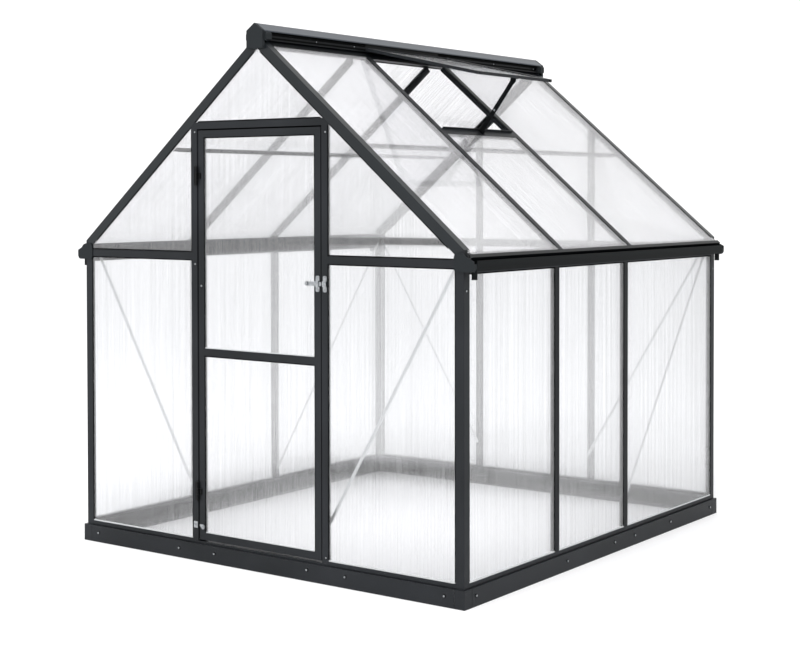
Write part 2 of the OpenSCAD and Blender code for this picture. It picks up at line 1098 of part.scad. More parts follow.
// Cleat: a foot and an ear with a pin through the stay, upwards from the foot's seat
cleat_l = 26;
cleat_t = 2;
cleat_pin_h = 14;
stay_w = 18;
stay_t = 4;
stay_pin_r = 3;

module vent_cleat() {
    ear_y = stay_t / 2 + seam;
    translate([-cleat_l / 2, ear_y, 0])
        cube([cleat_l, 14, cleat_t]);
    translate([-cleat_l / 2, ear_y, 0])
        cube([cleat_l, cleat_t, cleat_pin_h]);
    translate([0, ear_y + cleat_t, cleat_pin_h])
        rotate([90, 0, 0]) {
            cylinder(h = cleat_t, r = cleat_l / 2 - 3);
            cylinder(h = cleat_t + stay_t + 2 * seam, r = stay_pin_r);
        }
}

flap_pin_x = flap_end - flap_bar_w / 2 - 2;
bar_pin_s = vent_reach + vent_bar_h / 2;

module vent_cleats() {
    color("#232627") {
        on_flap()
            translate([flap_pin_x, 0, 0])
                mirror([0, 0, 1])
                    vent_cleat();
        on_slope()
            translate([bar_pin_s, vent_mid, 0])
                vent_cleat();
    }
}

// Stay between the two cleats' pins
flap_pin = [
    rib_x + flap_pin_x * cos(flap_angle) - cleat_pin_h * sin(flap_angle),
    rib_z - flap_pin_x * sin(flap_angle) - cleat_pin_h * cos(flap_angle)
];
bar_pin = [
    bar_pin_s * cos(roof_pitch) + cleat_pin_h * sin(roof_pitch),
    apex_z - bar_pin_s * sin(roof_pitch) + cleat_pin_h * cos(roof_pitch)
];

module vent_stay() {
    run = flap_pin - bar_pin;
    color("#232627")
        translate([bar_pin[0], vent_mid + stay_t / 2, bar_pin[1]])
            rotate([90, 0, 0])
                linear_extrude(stay_t)
                    rotate(atan2(run[1], run[0]))
                        difference() {
                            union() {
                                translate([0, -stay_w / 2])
                                    square([norm(run), stay_w]);
                                for (x = [0, norm(run)])
                                    translate([x, 0])
                                        circle(d = stay_w);
                            }
                            for (x = [0, norm(run)])
                                translate([x, 0])
                                    circle(stay_pin_r + seam / 2);
                        }
}

// ---- braces ----

// Strap on the inner face of the front wall from a high to a low point in (x, z)
module front_brace(high, low) {
    run = low - high;
    translate([0, -wall_y + bar_depth + brace_t, 0])
        rotate([90, 0, 0])
            linear_extrude(brace_t)
                translate(high)
                    rotate(atan2(run[1], run[0])) {
                        translate([0, -brace_w / 2])
                            square([norm(run), brace_w]);
                        circle(d = brace_w);
                        translate([norm(run), 0])
                            circle(d = brace_w);
                    }
}

brace_high = eave_rail_z - eave_rail_h / 2;
brace_low = sill_z + 120;

module braces_gables() {
    high = [wall_x - post_w - 8, brace_high];
    color("#b9bcbe")
        both_sides() {
            front_brace(high, [jamb_x + 9, brace_low]);
            mirror([0, 1, 0])
                front_brace(high, [rear_mullion_x, brace_low]);
        }
}

module braces_side() {
    high = [wall_y - post_d - 12, gutter_bottom + 8];
    low = [bar_y[1], sill_z + 50];
    run = low - high;
    color("#b9bcbe")
        both_sides()
            translate([wall_x - bar_depth - brace_t, 0, 0])
                rotate([90, 0, 90])
                    linear_extrude(brace_t)
                        translate(high)
                            rotate(atan2(run[1], run[0])) {
                                translate([0, -brace_w / 2])
                                    square([norm(run), brace_w]);
                                circle(d = brace_w);
                                translate([norm(run), 0])
                                    circle(d = brace_w);
                            }
}

// ---- door leaf ----

leaf_y = -wall_y + leaf_in;

module door_stiles() {
    color("#44484a")
        both_sides()
            translate([leaf_x, leaf_y, leaf_z])
                rotate([0, 0, 180])
                    linear_extrude(door_h)
                        edge_section(stile_w, leaf_depth);
}

// 2D (height, outwards) swept along the leaf between the stiles
module along_leaf() {
    translate([0, leaf_in, 0])
        along_front(-leaf_x + stile_w, leaf_x - stile_w)
            children();
}

module door_rails() {
    color("#44484a")
        along_leaf() {
            translate([leaf_z, 0])
                edge_section(bottom_rail_h, leaf_depth);
            translate([leaf_top, 0])
                mirror([1, 0])
                    edge_section(top_rail_h, leaf_depth);
            translate([mid_rail_z, 0])
                door_mid_section();
        }
}

// Middle rail: a slot above and one below, and a shallow box behind
module door_mid_section() {
    half = mid_rail_h / 2;
    for (y = [-skin, -slot_in - skin])
        translate([-half, y])
            square([mid_rail_h, skin]);
    translate([-skin / 2 - 0.5, -slot_in - skin])
        square([skin + 1, slot_in + skin]);
    difference() {
        translate([-bar_box / 2, -leaf_depth])
            square([bar_box, leaf_depth - slot_in]);
        translate([-bar_box / 2 + skin, -leaf_depth + skin])
            square([bar_box - 2 * skin, leaf_depth - slot_in - 2 * skin]);
    }
}

module door_panes() {
    half = leaf_x - stile_w + reach_in;
    low = leaf_z + bottom_rail_h - reach_in;
    high = leaf_top - top_rail_h + reach_in;
    color("#dfe6ea", 0.35)
        translate([0, leaf_in, 0])
            front_sheet() {
                translate([-half, low])
                    square([2 * half, mid_rail_z - bar_edge - low]);
                translate([-half, mid_rail_z + bar_edge])
                    square([2 * half, high - mid_rail_z - bar_edge]);
            }
}

// ---- hinges ----

pin_x = -leaf_x - door_gap / 2;
pin_y = -wall_y - hinge_r;
hinge_z = [leaf_z + hinge_low, leaf_top - hinge_high];
knuckle_gap = 0.4;
pin_r = 2;
pin_play = 0.15;
plate_t = 2;

// Post half: two outer knuckles, the pin and the plate on the post
module hinge_post_half() {
    third = hinge_len / 3;
    for (z = [0, 2 * third])
        translate([0, 0, z])
            cylinder(h = third, r = hinge_r);
    cylinder(h = hinge_len, r = pin_r);
    for (z = [0, 2 * third])
        translate([-16, hinge_r - plate_t, z])
            cube([16, plate_t, third]);
    translate([-16, hinge_r - plate_t, 0])
        cube([16 - hinge_r - 0.6, plate_t, hinge_len]);
}

module hinges_post() {
    color("#232627")
        for (z = hinge_z)
            translate([pin_x, pin_y, z - hinge_len / 2])
                hinge_post_half();
}

// Door half: the middle knuckle on the pin and the plate on the stile
module hinge_door_half() {
    third = hinge_len / 3;
    knuckle = third - 2 * knuckle_gap;
    difference() {
        union() {
            cylinder(h = knuckle, r = hinge_r);
            translate([0, hinge_r - plate_t, 0])
                cube([16, plate_t + leaf_in, knuckle]);
        }
        translate([0, 0, -1])
            cylinder(h = knuckle + 2, r = pin_r + pin_play);
    }
}

module hinges_door() {
    color("#232627")
        for (z = hinge_z)
            translate([pin_x, pin_y, z - hinge_len / 6 + knuckle_gap])
                hinge_door_half();
}

// ---- latch ----

strap_gap = 0.6;
strap_x = leaf_x - 22;
keeper_x = jamb_x + 7;
bolt_seat_y = -wall_y - strap_gap;

// Strap over the bolt in (z, outwards), base = distance of its seat from the wall face
module strap_profile(base) {
    tunnel = bolt_h / 2 + strap_gap;
    crown = bolt_t + 2 * strap_gap + strap_t;
    difference() {
        union() {
            translate([-strap_h / 2, base])
                square([strap_h, strap_t]);
            translate([-tunnel - strap_t, base])
                square([2 * (tunnel + strap_t), crown - base]);
        }
        translate([-tunnel, base - 1])
            square([2 * tunnel, crown - strap_t - base + 1]);
    }
}

module latch_strap_at(x, base) {
    intersection() {
        translate([0, 0, latch_z])
            along_front(x, x + strap_w)
                strap_profile(base);
        translate([x + strap_w / 2, -wall_y, latch_z])
            rotate([90, 0, 0])
                linear_extrude(60, center = true)
                    rounded_plate(strap_w, strap_h, 6);
    }
}

module rounded_plate(wide, high, r) {
    square([wide, high - 2 * r], center = true);
    square([wide - 2 * r, high], center = true);
    for (x = [-1, 1], y = [-1, 1])
        translate([x * (wide / 2 - r), y * (high / 2 - r)])
            circle(r);
}

module latch_keeper() {
    color("#c4c7c9")
        latch_strap_at(keeper_x, 0);
}

module latch_strap() {
    color("#c4c7c9")
        latch_strap_at(strap_x, -leaf_in);
}

// Bolt drawn back: its tip stands clear of the keeper
bolt_l = 75;
bolt_tip = keeper_x - 5;

module latch_bolt() {
    color("#c4c7c9")
        translate([bolt_tip - bolt_l, bolt_seat_y, latch_z])
            rotate([90, 0, 0]) {
                linear_extrude(bolt_t) {
                    translate([0, -bolt_h / 2])
                        square([bolt_l - bolt_h / 2, bolt_h]);
                    translate([bolt_l - bolt_h / 2, 0])
                        circle(d = bolt_h);
                }
                translate([7, 0, bolt_t]) {
                    cylinder(h = 1.5, r = 5);
                    translate([0, 0, 1.5])
                        cylinder(h = 2.5, r1 = 7, r2 = 6);
                }
            }
}

// ---- wind catch at the foot of the door ----

catch_t = 1.5;

module catch_plate() {
    color("#c4c7c9")
        translate([-jamb_x - 12, -wall_y, catch_z])
            rotate([90, 0, 0])
                linear_extrude(catch_t)
                    rounded_plate(19, 24, 2);
}

// Lug on the stile, a drop shape that points at the plate
module catch_lug() {
    color("#c4c7c9")
        translate([-leaf_x + 16, leaf_y, catch_z - 6])
            rotate([90, 0, 0])
                linear_extrude(catch_t)
                    hull() {
                        circle(9);
                        translate([-12, 5])
                            circle(3.5);
                    }
}

base_rails();
base_corners();
corner_posts();
front_sills();
rear_sill();
side_sills();
door_threshold();
door_posts();
door_header();
front_eave_rails();
rear_eave_rails();
rear_mullions();
side_mullions();
eave_beams();
gutter_left();
gutter_right();
eave_joints();
rafters();
ridge_beam();
ridge_cover();
ridge_end_caps();
roof_bars();
roof_sills();
roof_purlins();
side_sheets();
front_sheets();
rear_sheets();
roof_sheets();
vent_crossbar();
vent_frame();
vent_sheet();
vent_cleats();
vent_stay();
braces_gables();
braces_side();
door_stiles();
door_rails();
door_panes();
hinges_post();
hinges_door();
latch_keeper();
latch_strap();
latch_bolt();
catch_plate();
catch_lug();
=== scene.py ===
# %% [markdown]
# A clear-sheet garden greenhouse
#
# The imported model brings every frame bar, sheet and fitting at its real size. This
# lesson gives each of them the finish of the real material, adds the small fasteners
# and trims that are too fine for the construction model, and lights it all softly.

# %% Load the model
import json
import math

import bmesh
import bpy
from mathutils import Matrix, Vector


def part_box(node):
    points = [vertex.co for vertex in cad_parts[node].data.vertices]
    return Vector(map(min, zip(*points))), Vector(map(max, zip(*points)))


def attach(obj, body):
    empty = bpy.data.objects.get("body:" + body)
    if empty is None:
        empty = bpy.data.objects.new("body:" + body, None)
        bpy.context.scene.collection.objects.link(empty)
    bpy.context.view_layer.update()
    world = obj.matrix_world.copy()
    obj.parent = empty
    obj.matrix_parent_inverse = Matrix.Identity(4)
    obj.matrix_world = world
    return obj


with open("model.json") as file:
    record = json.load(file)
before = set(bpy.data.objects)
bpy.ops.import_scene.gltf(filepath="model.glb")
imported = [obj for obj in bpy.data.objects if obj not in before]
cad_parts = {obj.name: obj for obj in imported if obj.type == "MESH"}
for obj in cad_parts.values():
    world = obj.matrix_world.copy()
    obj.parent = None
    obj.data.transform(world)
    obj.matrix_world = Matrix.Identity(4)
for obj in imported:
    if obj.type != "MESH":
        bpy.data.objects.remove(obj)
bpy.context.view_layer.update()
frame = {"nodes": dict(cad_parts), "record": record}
nodes = frame["nodes"]

# %% [markdown]
# Blender mixes light in linear values, but colours are picked on a screen as sRGB hex.
# One function turns the picked colour into the linear one, and another adds a node
# with its settings and links, so that a material reads as a short list. Most real
# finishes vary a little from place to place, so a last helper tints a surface between
# two close colours with soft noise of a real size.

# %% Helpers for materials


def linear(hex_code):
    """An sRGB colour such as '3b3f42' as linear red, green, blue and alpha."""
    parts = [int(hex_code[i : i + 2], 16) / 255 for i in (0, 2, 4)]
    light = [p / 12.92 if p <= 0.04045 else ((p + 0.055) / 1.055) ** 2.4 for p in parts]
    return light + [1.0]


def add(mat, kind, settings=None, links=None, **props):
    """A node of that kind: settings by input, links from (node, output) to an input."""
    node = mat.node_tree.nodes.new(kind)
    for name, value in props.items():
        setattr(node, name, value)
    for name, value in (settings or {}).items():
        node.inputs[name].default_value = value
    for name, (source, output) in (links or {}).items():
        mat.node_tree.links.new(source.outputs[output], node.inputs[name])
    return node


def material(name, **settings):
    """An empty material with one Principled shader, whose constants are settings."""
    mat = bpy.data.materials.new(name)
    mat.use_nodes = True
    mat.node_tree.nodes.clear()
    shader = add(mat, "ShaderNodeBsdfPrincipled", settings)
    out = add(mat, "ShaderNodeOutputMaterial")
    mat.node_tree.links.new(shader.outputs[0], out.inputs[0])
    return mat, shader


def plug(mat, source, output, shader, name):
    """Links a node's output to a named input of another."""
    mat.node_tree.links.new(source.outputs[output], shader.inputs[name])


def mottled(mat, shader, size, detail, dark, light, start=0.0, stop=1.0):
    """Tints the shader by noise of that size in metres. Gives the place and the noise."""
    place = add(mat, "ShaderNodeTexCoord")
    settings = {"Scale": 1 / size, "Detail": detail}
    noise = add(mat, "ShaderNodeTexNoise", settings, {"Vector": (place, "Object")})
    ramp = add(mat, "ShaderNodeValToRGB", links={"Fac": (noise, "Fac")})
    for element, position, colour in zip(ramp.color_ramp.elements, (start, stop), (dark, light)):
        element.position = position
        element.color = linear(colour)
    plug(mat, ramp, "Color", shader, "Base Color")
    return place, noise


print("3b3f42 is linear", [round(v, 3) for v in linear("3b3f42")])

# %% [markdown]
# Powder-coated aluminium. Extruded bars are sprayed with dry paint powder and baked,
# which leaves a satin anthracite skin with a very fine orange peel. It is a paint, so
# it isn't metallic. A shader can put a clear coat over a colour, but baked powder is
# one layer, so one layer with a low specular level is closer to it. The peel is really
# about 1.5 mm across: it is drawn at 5 mm so that it shows at all, together with a
# slow drift in shade from bar to bar. The rafters have a glossier coat, whose roof side
# catches the sky. The ridge beam, the drip rails and the side mullions get a nearly black
# copy of the same paint. This is painted shade, for the shade that the beam and the rails
# sit in under the cover and the gutter, and it makes them all read as dark lines.

# %% Powder-coated aluminium
SHADE_DRIFT = 0.35  # metres
ORANGE_PEEL = 0.005  # metres


def powder_coat(name, dark, light, roughness, gloss):
    """gloss is the shader's specular level, where 0.5 is a bare varnish."""
    mat, shader = material(name, Roughness=roughness, IOR=1.5, **{"Specular IOR Level": gloss})
    place, _ = mottled(mat, shader, SHADE_DRIFT, 3.0, dark, light, 0.3, 0.7)
    settings = {"Scale": 1 / ORANGE_PEEL, "Detail": 2.0}
    peel = add(mat, "ShaderNodeTexNoise", settings, {"Vector": (place, "Object")})
    settings = {"Strength": 0.06, "Distance": 0.0005}
    bump = add(mat, "ShaderNodeBump", settings, {"Height": (peel, "Fac")})
    plug(mat, bump, "Normal", shader, "Normal")
    return mat


anthracite = powder_coat("powder_coated_aluminium", "1f2123", "282a2d", 0.34, 0.09)
anthracite_gloss = powder_coat("powder_coated_aluminium_gloss", "15191c", "1c2023", 0.30, 0.27)
# A nearly black copy of the same paint: painted shade for the ridge beam and the drip rails, used
# on the side mullions too.
anthracite_painted_shade = powder_coat("powder_coated_aluminium_painted_shade", "0b0d0f", "111416", 0.36, 0.10)
print("made", anthracite.name, anthracite_gloss.name, anthracite_painted_shade.name)

# %% [markdown]
# The ridge cover is the same paint on a wider extrusion. Its colour is a lighter, bluer
# grey than the other bars': painted sky light on its top, with a higher specular level
# besides. It faces the sky, so it shows the fine lines that the die drew along it. They
# could be cut in the mesh, but they are only a change of tint, so a noise stretched along
# the ridge, with lines about 4 mm apart, takes the place of the round noise of the other bars.

# %% The ridge cover's coat
DIE_LINES = 0.004  # metres
ridge_name = "powder_coated_aluminium_ridge_painted_sky"
# Painted sky light: the cover's colour is a lighter, bluer grey than the other bars' paint.
anthracite_ridge_painted_sky = powder_coat(ridge_name, "20272f", "303842", 0.36, 0.52)
coat_nodes = anthracite_ridge_painted_sky.node_tree.nodes
place = next(n for n in coat_nodes if n.type == "TEX_COORD")
ramp = next(n for n in coat_nodes if n.type == "VALTORGB")
settings = {"Scale": (1 / DIE_LINES, 0.6, 1 / DIE_LINES)}
long = add(anthracite_ridge_painted_sky, "ShaderNodeMapping", settings, {"Vector": (place, "Object")})
settings = {"Scale": 1.0, "Detail": 1.0}
lines = add(anthracite_ridge_painted_sky, "ShaderNodeTexNoise", settings, {"Vector": (long, 0)})
plug(anthracite_ridge_painted_sky, lines, "Fac", ramp, "Fac")
print("made", anthracite_ridge_painted_sky.name)

# %% [markdown]
# Moulded ABS. The caps, corner pieces, gutters and the stay are moulded plastic:
# through-coloured, nearly black and dull, with a spark-eroded grain about 0.4 mm
# wide, drawn at 2 mm so that it shows. One noise drives both the tint and the bump, so
# the grain's pits and its colour agree. The caps and corner pieces are a shade lighter.

# %% Moulded ABS
SPARK_GRAIN = 0.002  # metres


def moulded_abs(name, dark, light):
    mat, shader = material(name, Roughness=0.55, IOR=1.53, **{"Specular IOR Level": 0.06})
    _, grain = mottled(mat, shader, SPARK_GRAIN, 1.0, dark, light)
    settings = {"Strength": 0.1, "Distance": 0.0004}
    bump = add(mat, "ShaderNodeBump", settings, {"Height": (grain, "Fac")})
    plug(mat, bump, "Normal", shader, "Normal")
    return mat


moulded = moulded_abs("moulded_abs", "0e1011", "151819")
moulded_cap = moulded_abs("moulded_abs_caps", "202325", "282b2d")
print("made", moulded.name, moulded_cap.name)

# %% [markdown]
# Twin-wall polycarbonate. Two thin clear skins are joined by ribs that run up each
# sheet every few millimetres. Each rib is a tiny upright lens: it throws what lies
# behind it sideways, while the clear cell beside it shows things straight. So far
# posts fade to pale ghosts, level rails stay dark, and fine streaks run along the
# ribs. A bump map would be too coarse for waves this fine, so the normal itself is
# tilted sideways: hardly at all over a cell, and far at the middle of a rib. The ribs
# lean more in the gables than in the side walls and the roof, which the camera sees at
# more of a slant. A little white haze comes on top.

# %% Twin-wall polycarbonate
RIB_PITCH = 0.006  # metres
RIB_DRIFT = 0.02  # metres, the width of a group of ribs that wanders together
RIB_SHARPNESS = 21.0  # an odd power, so that the wave keeps its sign
HAZE_STREAK = 0.004  # metres, a streak's width


def twin_wall(name, across, lean, haze, dark="f7f8f9", light="fdfdfe"):
    """across is the axis that the ribs follow one another along, 0 for X or 1 for Y.
    lean is how far the normal tilts at the middle of a rib."""
    mat, shader = material(name, Roughness=0.0, IOR=1.3)
    place = add(mat, "ShaderNodeTexCoord")
    split = add(mat, "ShaderNodeSeparateXYZ", links={"Vector": (place, "Object")})
    # The ribs wander a little from a perfect pitch
    scale = [0.4, 0.4, 0.4]
    scale[across] = 1 / RIB_DRIFT
    slow = add(mat, "ShaderNodeMapping", {"Scale": scale}, {"Vector": (place, "Object")})
    settings = {"Scale": 1.0, "Detail": 1.0}
    drift = add(mat, "ShaderNodeTexNoise", settings, {"Vector": (slow, 0)})
    jitter = add(mat, "ShaderNodeMath", {1: 4.0}, {0: (drift, "Fac")}, operation="MULTIPLY")
    turns = {1: 2 * math.pi / RIB_PITCH}
    links = {0: (split, "XY"[across]), 2: (jitter, 0)}
    angle = add(mat, "ShaderNodeMath", turns, links, operation="MULTIPLY_ADD")
    # The two skins' waves are opposite, so that a rib acts as a lens from either side
    geometry = add(mat, "ShaderNodeNewGeometry")
    links = {0: (geometry, "Backfacing"), 2: (angle, 0)}
    skin = add(mat, "ShaderNodeMath", {1: math.pi}, links, operation="MULTIPLY_ADD")
    wave = add(mat, "ShaderNodeMath", links={0: (skin, 0)}, operation="SINE")
    # A high odd power keeps the wave near zero over a cell and sharp at a rib
    power = {1: RIB_SHARPNESS}
    sharp = add(mat, "ShaderNodeMath", power, {0: (wave, 0)}, operation="POWER")
    tilt = add(mat, "ShaderNodeMath", {1: lean}, {0: (sharp, 0)}, operation="MULTIPLY")
    sideways = add(mat, "ShaderNodeCombineXYZ", links={"XY"[across]: (tilt, 0)})
    links = {0: (geometry, "Normal"), 1: (sideways, 0)}
    leaning = add(mat, "ShaderNodeVectorMath", links=links, operation="ADD")
    normal = add(mat, "ShaderNodeVectorMath", links={0: (leaning, 0)}, operation="NORMALIZE")
    plug(mat, normal, 0, shader, "Normal")
    # Streaks of haze about 4 mm wide that run the whole way along the ribs
    scale = [1.0, 1.0, 1.0]
    scale[across] = 1 / HAZE_STREAK
    stretch = add(mat, "ShaderNodeMapping", {"Scale": scale}, {"Vector": (place, "Object")})
    settings = {"Scale": 1.0, "Detail": 2.0}
    streaks = add(mat, "ShaderNodeTexNoise", settings, {"Vector": (stretch, 0)})
    settings = {"From Min": 0.3, "From Max": 0.7}
    settings.update({"To Min": 1 - 1.6 * haze, "To Max": 1 - 0.4 * haze})
    clear = add(mat, "ShaderNodeMapRange", settings, {"Value": (streaks, "Fac")})
    plug(mat, clear, 0, shader, "Transmission Weight")
    tone = add(mat, "ShaderNodeValToRGB", links={"Fac": (streaks, "Fac")})
    tone.color_ramp.elements[0].color = linear(dark)
    tone.color_ramp.elements[1].color = linear(light)
    plug(mat, tone, "Color", shader, "Base Color")
    return mat


sheet_gable = twin_wall("twin_wall_polycarbonate_gable", 0, 0.50, 0.08)
sheet_side = twin_wall("twin_wall_polycarbonate_side", 1, 0.38, 0.08)
sheet_roof = twin_wall("twin_wall_polycarbonate_roof", 1, 0.25, 0.13, "fbfbff", "ffffff")
print("made", sheet_gable.name, sheet_side.name, sheet_roof.name)

# %% [markdown]
# Bare metals. The braces are mill-finish aluminium strap, dulled to a light grey by
# its oxide; the bolt, its straps and the screws are zinc-plated steel, slightly
# blotchy. Both are true metals, so the colour is that of the reflection, and they keep
# the shader's own index of refraction. Two noises would be more than such small
# pieces can show, so one blotch size each is enough.

# %% Mill aluminium and zinc-plated steel


def bare_metal(name, dark, light, roughness, size):
    mat, shader = material(name, Metallic=1.0, Roughness=roughness)
    mottled(mat, shader, size, 4.0, dark, light, 0.35, 0.65)
    return mat


mill = bare_metal("mill_finish_aluminium", "d8dadb", "e6e7e8", 0.55, 0.01)
zinc = bare_metal("zinc_plated_steel", "8c8f92", "b4b7ba", 0.30, 0.006)
print("made", mill.name, zinc.name)

# %% [markdown]
# Black rubber. The glazing seals and washers are extruded EPDM: deep black and dull,
# with hardly any gloss. The seals and the ridge lining sit where steps and gaps are in
# shade, so their black is painted shade that reads as thin dark lines beside the bars.
# A faint bloom about 10 mm across keeps the black from looking flat.

# %% EPDM rubber, and painted shade
# The black of the seals and linings is painted shade for the shaded steps and gaps; on the washers
# it is the rubber's own.
rubber_and_shade, shader = material("epdm_rubber_and_painted_shade", Roughness=0.8, IOR=1.5, **{"Specular IOR Level": 0.04})
mottled(rubber_and_shade, shader, 0.01, 2.0, "070808", "0d0e0f")
print("made", rubber_and_shade.name)

# %% [markdown]
# Black steel. The door's hinges are steel with a thin black electro-coat. It is
# smoother and deeper than the powder coat round it, so they stand out as dark blocks.
# The coat hides the metal, so the shader isn't metallic.

# %% Electro-coated steel
gloss = {"Specular IOR Level": 0.1}
black_steel, shader = material("electro_coated_steel", Roughness=0.3, IOR=1.5, **gloss)
mottled(black_steel, shader, 0.02, 2.0, "050606", "0d0e0f")
print("made", black_steel.name)

# %% [markdown]
# Closing strip. The open ends of a twin-wall sheet are closed at the bottom by a thin
# pale strip of clear plastic with a milky look, which catches the light above each
# sill. It is extruded, smooth and a little see-through, so it stays light and glossy.

# %% Clear closing strip
milky = {"Transmission Weight": 0.3}
closing, shader = material("closing_strip_polycarbonate", Roughness=0.25, IOR=1.5, **milky)
mottled(closing, shader, 0.03, 2.0, "c9ccce", "dfe1e2")
print("made", closing.name)

# %% [markdown]
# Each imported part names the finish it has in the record, and that picks its material.
# A few parts differ from their finish's usual look, so they are listed by name.

# %% Give each node its material
finish = {
    "twin_wall_sheet": sheet_gable,
    "black_moulding": moulded,
    "anthracite_aluminium": anthracite,
    "anthracite_cover": anthracite_ridge_painted_sky,
    "bare_aluminium": mill,
    "zinc_plated_steel": zinc,
    "black_steel": black_steel,
}
looks = {
    "side_sheets": sheet_side,
    "roof_sheets": sheet_roof,
    "vent_sheet": sheet_roof,
    # Painted shade: the drip rails, the ridge beam and the side mullions get the nearly black copy
    # of the paint.
    "roof_sills": anthracite_painted_shade,
    "ridge_beam": anthracite_painted_shade,
    "side_mullions": anthracite_painted_shade,
    "rafters": anthracite_gloss,
    "eave_joints": moulded_cap,
    "ridge_end_caps": moulded_cap,
}
slots = {row["node"]: row["material_slot"] for row in frame["record"]["subparts"]}
for name, obj in nodes.items():
    mat = looks.get(name) or finish[slots[name]]
    obj.data.materials.clear()
    obj.data.materials.append(mat)
print("materials on", len(nodes), "nodes")

# %% [markdown]
# The small pieces need the places of single bars, but a node may hold several like
# bars. The places could be typed in, but they would be wrong as soon as a bar moves.
# So one helper copies a node's mesh, merges its doubled corners, and walks along the
# edges from corner to corner to find each separate solid and its box.

# %% Boxes of a node's separate solids


def solids(name):
    """The lowest and highest corners of each separate solid of a CAD node."""
    bm = bmesh.new()
    bm.from_mesh(nodes[name].data)
    bmesh.ops.remove_doubles(bm, verts=bm.verts, dist=1e-6)
    waiting, boxes = set(bm.verts), []
    while waiting:
        reached = [waiting.pop()]
        points = []
        while reached:
            vert = reached.pop()
            points.append(vert.co.copy())
            for edge in vert.link_edges:
                other = edge.other_vert(vert)
                if other in waiting:
                    waiting.discard(other)
                    reached.append(other)
        low = Vector([min(p[i] for p in points) for i in range(3)])
        high = Vector([max(p[i] for p in points) for i in range(3)])
        boxes.append((low, high))
    bm.free()
    return sorted(boxes, key=lambda box: [round(v, 3) for v in box[0]])


wall_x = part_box("corner_posts")[1][0]
wall_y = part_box("corner_posts")[1][1]
base_x, base_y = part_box("base_corners")[1][:2]
print("wall faces", [round(v, 4) for v in (wall_x, wall_y)])
print("base faces", [round(v, 4) for v in (base_x, base_y)])

# %% [markdown]
# Screws and bolts. A screw's head could be a squashed sphere, but a real one has a
# straight rim and a dished middle. So a few corners are placed on half its outline
# and spun a full turn round the axis. The dish stands for the cross recess, which is
# too small to draw. Every fastener is built at the origin with its head along +Z, then
# turned to its face, so one recipe serves them all.

# %% Fasteners


def piece(bm, name, body, mat):
    """A finished object from a bmesh, riding on its body."""
    bmesh.ops.recalc_face_normals(bm, faces=bm.faces)
    mesh = bpy.data.meshes.new(name)
    bm.to_mesh(mesh)
    bm.free()
    obj = bpy.data.objects.new(name, mesh)
    bpy.context.scene.collection.objects.link(obj)
    mesh.materials.append(mat)
    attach(obj, body)
    print(name, "faces:", len(mesh.polygons))


def spun(bm, outline, steps):
    """Spins an outline of (radius, height) points round Z into a closed solid."""
    verts = [bm.verts.new((r, 0, z)) for r, z in outline]
    edges = [bm.edges.new(pair) for pair in zip(verts, verts[1:])]
    bmesh.ops.spin(
        bm,
        geom=verts + edges,
        cent=(0, 0, 0),
        axis=(0, 0, 1),
        angle=math.tau,
        steps=steps,
        use_merge=True,
    )
    bmesh.ops.remove_doubles(bm, verts=bm.verts, dist=1e-6)


def stamped(bm, build, places):
    """Repeats what build makes at each (point, outward direction)."""
    for point, out in places:
        part = bmesh.new()
        build(part)
        turn = Vector(out).to_track_quat("Z", "Y").to_matrix().to_4x4()
        bmesh.ops.transform(part, matrix=Matrix.Translation(point) @ turn, verts=part.verts)
        mesh = bpy.data.meshes.new("part")
        part.to_mesh(mesh)
        part.free()
        bm.from_mesh(mesh)
        bpy.data.meshes.remove(mesh)


def pan_screw(radius):
    """A pan head: a dome with a dished middle."""

    def build(bm):
        dome = [(0, 0), (1, 0), (1, 0.25), (0.82, 0.55), (0.45, 0.7), (0.36, 0.4), (0, 0.3)]
        spun(bm, [(radius * out, radius * up) for out, up in dome], 12)

    return build


def washer(radius):
    """A flat disc of rubber under a head, 0.9 mm thick with its edge rounded off."""

    def build(bm):
        rim = 0.9 * radius
        spun(bm, [(0, 0), (radius, 0), (radius, 0.0006), (rim, 0.0009), (0, 0.0009)], 14)

    return build


def hex_bolt(radius):
    """A hexagon head on a pressed flange, drawn in a little towards its top."""

    def build(bm):
        brim, flange = 1.25 * radius, 0.2 * radius
        spun(bm, [(0, 0), (brim, 0), (brim, flange), (0, flange)], 16)
        seat = Matrix.Translation((0, 0, flange))
        made = bmesh.ops.create_circle(bm, cap_ends=True, segments=6, radius=radius, matrix=seat)
        face = made["verts"][0].link_faces[0]
        grown = bmesh.ops.extrude_face_region(bm, geom=[face])
        top = [g for g in grown["geom"] if isinstance(g, bmesh.types.BMVert)]
        bmesh.ops.translate(bm, verts=top, vec=(0, 0, 0.7 * radius))
        bmesh.ops.scale(bm, verts=top, vec=(0.92, 0.92, 1))

    return build


def fasteners(name, body, build, places, mat=zinc):
    """One piece of many like fasteners, of plated steel unless told otherwise."""
    bm = bmesh.new()
    stamped(bm, build, places)
    piece(bm, name, body, mat)


# %% [markdown]
# The base frame is bolted through its faces, six bolts to a side, with hexagon heads
# on black rubber washers. Each bolt could be an object of its own, but they never move
# apart, so all of them are one piece. The rear and left sides repeat the front and
# right ones, turned half round.

# %% Bolts round the base
SCREW = 0.0036  # metres, the radius of a pan head
BOLT = 0.0042  # metres, the radius of a hexagon head over its corners
front, right, rear, left = (0, -1, 0), (1, 0, 0), (0, 1, 0), (-1, 0, 0)
